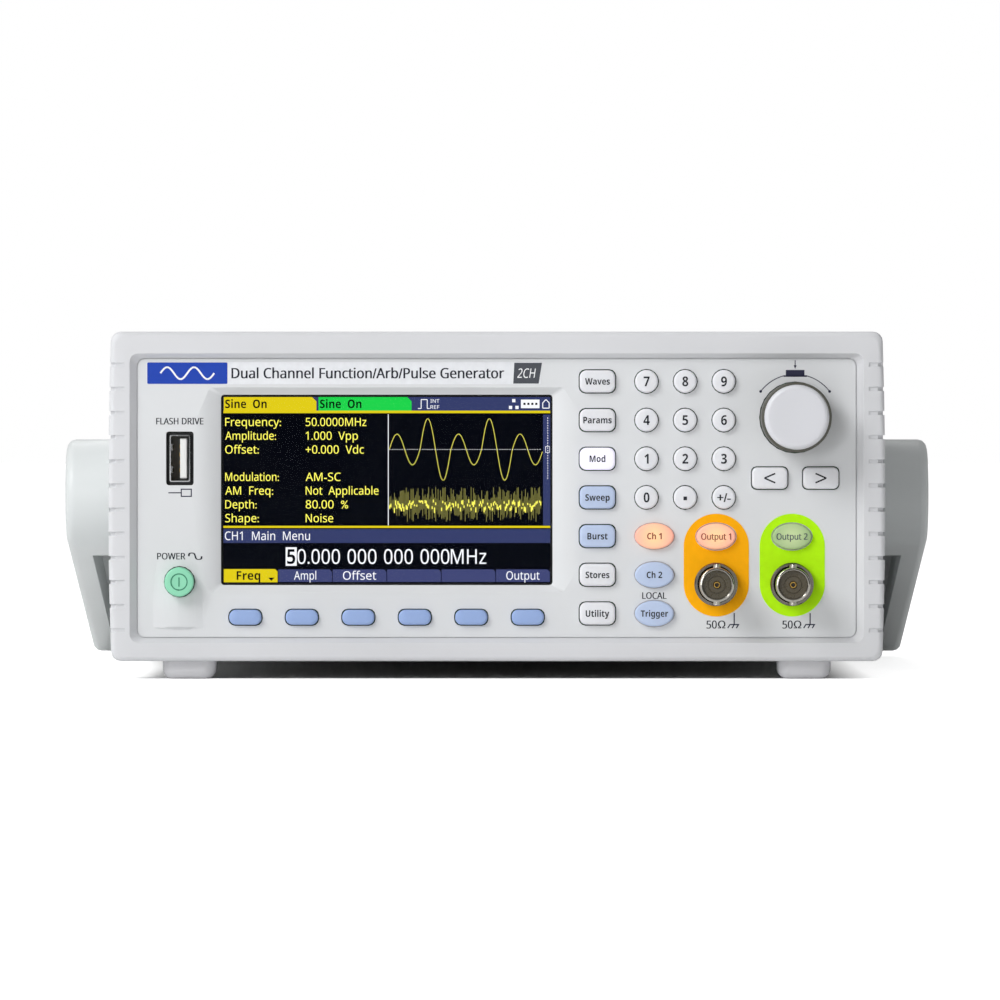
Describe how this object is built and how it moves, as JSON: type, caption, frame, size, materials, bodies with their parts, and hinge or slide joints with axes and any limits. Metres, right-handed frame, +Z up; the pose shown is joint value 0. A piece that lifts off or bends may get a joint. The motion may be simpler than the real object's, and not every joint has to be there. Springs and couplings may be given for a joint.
{
  "type": "function generator",
  "caption": "Two-channel bench function generator with display, keypad, rotary knob, coaxial outputs, sheet-metal case and swinging carry handle.",
  "frame": {"origin": "on the ground under the middle of the object's box, handle at rest behind the case", "axes": "+Z up, front panel faces -Y, +X to the right of someone facing the panel"},
  "size_m": [0.25, 0.2946, 0.097],
  "materials": {
    "bezel_plastic": "fine-textured light grey moulding",
    "panel_plastic": "fine-textured cool grey moulding",
    "handle_plastic": "satin light grey moulding",
    "painted_steel": "light grey powder coat",
    "zinced_steel": "zinc-plated sheet",
    "key_white": "translucent white silicone rubber",
    "key_blue": "pale blue silicone rubber",
    "key_soft": "periwinkle blue silicone rubber",
    "key_lit": "silicone rubber lit orange from behind",
    "key_green": "pale green silicone rubber",
    "power_green": "mint green moulded cap",
    "knob_plastic": "smooth white moulding",
    "clear_plastic": "clear window over the display",
    "black_plastic": "black moulding",
    "board_green": "solder-masked laminate",
    "nickel": "nickel-plated brass",
    "foot_rubber": "grey rubber"
  },
  "bodies": {
    "root": {"case_cover": "painted_steel", "chassis_tray": "zinced_steel", "display_module": "black_plastic", "display_window": "clear_plastic", "encoder_body": "zinced_steel", "foot_front_left": "foot_rubber", "foot_front_right": "foot_rubber", "foot_rear_left": "foot_rubber", "foot_rear_right": "foot_rubber", "front_bezel": "bezel_plastic", "front_panel": "panel_plastic", "keypad_board": "board_green", "main_board": "board_green", "mains_inlet": "black_plastic", "output_socket_1": "nickel", "output_socket_2": "nickel", "power_supply": "zinced_steel", "power_switch": "black_plastic", "rear_bezel": "bezel_plastic", "rear_panel": "painted_steel", "usb_socket": "black_plastic"},
    "handle": {"handle_arm_left": "handle_plastic", "handle_arm_right": "handle_plastic", "handle_grip": "handle_plastic"},
    "rotary_push": {"encoder_plunger": "black_plastic"},
    "rotary_turn": {"encoder_spindle": "nickel", "knob": "knob_plastic"},
    "power_button": {"power_button": "power_green"},
    "key_0": {"key_0": "key_white"},
    "key_1": {"key_1": "key_white"},
    "key_2": {"key_2": "key_white"},
    "key_3": {"key_3": "key_white"},
    "key_4": {"key_4": "key_white"},
    "key_5": {"key_5": "key_white"},
    "key_6": {"key_6": "key_white"},
    "key_7": {"key_7": "key_white"},
    "key_8": {"key_8": "key_white"},
    "key_9": {"key_9": "key_white"},
    "key_burst": {"key_burst": "key_blue"},
    "key_channel_1": {"key_channel_1": "key_lit"},
    "key_channel_2": {"key_channel_2": "key_blue"},
    "key_cursor_left": {"key_cursor_left": "key_white"},
    "key_cursor_right": {"key_cursor_right": "key_white"},
    "key_mod": {"key_mod": "key_white"},
    "key_output_1": {"key_output_1": "key_lit"},
    "key_output_2": {"key_output_2": "key_green"},
    "key_params": {"key_params": "key_white"},
    "key_point": {"key_point": "key_white"},
    "key_sign": {"key_sign": "key_white"},
    "key_stores": {"key_stores": "key_white"},
    "key_sweep": {"key_sweep": "key_blue"},
    "key_trigger": {"key_trigger": "key_blue"},
    "key_utility": {"key_utility": "key_white"},
    "key_waves": {"key_waves": "key_white"},
    "soft_key_1": {"soft_key_1": "key_soft"},
    "soft_key_2": {"soft_key_2": "key_soft"},
    "soft_key_3": {"soft_key_3": "key_soft"},
    "soft_key_4": {"soft_key_4": "key_soft"},
    "soft_key_5": {"soft_key_5": "key_soft"},
    "soft_key_6": {"soft_key_6": "key_soft"}
  },
  "joints": [
    {"name": "handle_swing", "type": "hinge", "parent": "root", "child": "handle", "pos_m": [0, -0.02583, 0.051], "axis": [1, 0, 0], "range_deg": [-166, 104]},
    {"name": "knob_push", "type": "slide", "parent": "root", "child": "rotary_push", "axis": [0, 1, 0], "range_m": [0, 0.001], "stiffness_N_per_m": 600},
    {"name": "knob_turn", "type": "hinge", "parent": "rotary_push", "child": "rotary_turn", "pos_m": [0.0833, -0.13182, 0.07305], "axis": [0, -1, 0], "continuous": true},
    {"name": "power_push", "type": "slide", "parent": "root", "child": "power_button", "axis": [0, 1, 0], "range_m": [0, 0.003], "stiffness_N_per_m": 300},
    {"name": "key_0_press", "type": "slide", "parent": "root", "child": "key_0", "axis": [0, 1, 0], "range_m": [0, 0.0012], "stiffness_N_per_m": 400},
    {"name": "key_1_press", "type": "slide", "parent": "root", "child": "key_1", "axis": [0, 1, 0], "range_m": [0, 0.0012], "stiffness_N_per_m": 400},
    {"name": "key_2_press", "type": "slide", "parent": "root", "child": "key_2", "axis": [0, 1, 0], "range_m": [0, 0.0012], "stiffness_N_per_m": 400},
    {"name": "key_3_press", "type": "slide", "parent": "root", "child": "key_3", "axis": [0, 1, 0], "range_m": [0, 0.0012], "stiffness_N_per_m": 400},
    {"name": "key_4_press", "type": "slide", "parent": "root", "child": "key_4", "axis": [0, 1, 0], "range_m": [0, 0.0012], "stiffness_N_per_m": 400},
    {"name": "key_5_press", "type": "slide", "parent": "root", "child": "key_5", "axis": [0, 1, 0], "range_m": [0, 0.0012], "stiffness_N_per_m": 400},
    {"name": "key_6_press", "type": "slide", "parent": "root", "child": "key_6", "axis": [0, 1, 0], "range_m": [0, 0.0012], "stiffness_N_per_m": 400},
    {"name": "key_7_press", "type": "slide", "parent": "root", "child": "key_7", "axis": [0, 1, 0], "range_m": [0, 0.0012], "stiffness_N_per_m": 400},
    {"name": "key_8_press", "type": "slide", "parent": "root", "child": "key_8", "axis": [0, 1, 0], "range_m": [0, 0.0012], "stiffness_N_per_m": 400},
    {"name": "key_9_press", "type": "slide", "parent": "root", "child": "key_9", "axis": [0, 1, 0], "range_m": [0, 0.0012], "stiffness_N_per_m": 400},
    {"name": "key_burst_press", "type": "slide", "parent": "root", "child": "key_burst", "axis": [0, 1, 0], "range_m": [0, 0.0012], "stiffness_N_per_m": 400},
    {"name": "key_channel_1_press", "type": "slide", "parent": "root", "child": "key_channel_1", "axis": [0, 1, 0], "range_m": [0, 0.0012], "stiffness_N_per_m": 400},
    {"name": "key_channel_2_press", "type": "slide", "parent": "root", "child": "key_channel_2", "axis": [0, 1, 0], "range_m": [0, 0.0012], "stiffness_N_per_m": 400},
    {"name": "key_cursor_left_press", "type": "slide", "parent": "root", "child": "key_cursor_left", "axis": [0, 1, 0], "range_m": [0, 0.0012], "stiffness_N_per_m": 400},
    {"name": "key_cursor_right_press", "type": "slide", "parent": "root", "child": "key_cursor_right", "axis": [0, 1, 0], "range_m": [0, 0.0012], "stiffness_N_per_m": 400},
    {"name": "key_mod_press", "type": "slide", "parent": "root", "child": "key_mod", "axis": [0, 1, 0], "range_m": [0, 0.0012], "stiffness_N_per_m": 400},
    {"name": "key_output_1_press", "type": "slide", "parent": "root", "child": "key_output_1", "axis": [0, 1, 0], "range_m": [0, 0.0012], "stiffness_N_per_m": 400},
    {"name": "key_output_2_press", "type": "slide", "parent": "root", "child": "key_output_2", "axis": [0, 1, 0], "range_m": [0, 0.0012], "stiffness_N_per_m": 400},
    {"name": "key_params_press", "type": "slide", "parent": "root", "child": "key_params", "axis": [0, 1, 0], "range_m": [0, 0.0012], "stiffness_N_per_m": 400},
    {"name": "key_point_press", "type": "slide", "parent": "root", "child": "key_point", "axis": [0, 1, 0], "range_m": [0, 0.0012], "stiffness_N_per_m": 400},
    {"name": "key_sign_press", "type": "slide", "parent": "root", "child": "key_sign", "axis": [0, 1, 0], "range_m": [0, 0.0012], "stiffness_N_per_m": 400},
    {"name": "key_stores_press", "type": "slide", "parent": "root", "child": "key_stores", "axis": [0, 1, 0], "range_m": [0, 0.0012], "stiffness_N_per_m": 400},
    {"name": "key_sweep_press", "type": "slide", "parent": "root", "child": "key_sweep", "axis": [0, 1, 0], "range_m": [0, 0.0012], "stiffness_N_per_m": 400},
    {"name": "key_trigger_press", "type": "slide", "parent": "root", "child": "key_trigger", "axis": [0, 1, 0], "range_m": [0, 0.0012], "stiffness_N_per_m": 400},
    {"name": "key_utility_press", "type": "slide", "parent": "root", "child": "key_utility", "axis": [0, 1, 0], "range_m": [0, 0.0012], "stiffness_N_per_m": 400},
    {"name": "key_waves_press", "type": "slide", "parent": "root", "child": "key_waves", "axis": [0, 1, 0], "range_m": [0, 0.0012], "stiffness_N_per_m": 400},
    {"name": "soft_key_1_press", "type": "slide", "parent": "root", "child": "soft_key_1", "axis": [0, 1, 0], "range_m": [0, 0.0012], "stiffness_N_per_m": 400},
    {"name": "soft_key_2_press", "type": "slide", "parent": "root", "child": "soft_key_2", "axis": [0, 1, 0], "range_m": [0, 0.0012], "stiffness_N_per_m": 400},
    {"name": "soft_key_3_press", "type": "slide", "parent": "root", "child": "soft_key_3", "axis": [0, 1, 0], "range_m": [0, 0.0012], "stiffness_N_per_m": 400},
    {"name": "soft_key_4_press", "type": "slide", "parent": "root", "child": "soft_key_4", "axis": [0, 1, 0], "range_m": [0, 0.0012], "stiffness_N_per_m": 400},
    {"name": "soft_key_5_press", "type": "slide", "parent": "root", "child": "soft_key_5", "axis": [0, 1, 0], "range_m": [0, 0.0012], "stiffness_N_per_m": 400},
    {"name": "soft_key_6_press", "type": "slide", "parent": "root", "child": "soft_key_6", "axis": [0, 1, 0], "range_m": [0, 0.0012], "stiffness_N_per_m": 400}
  ]
}
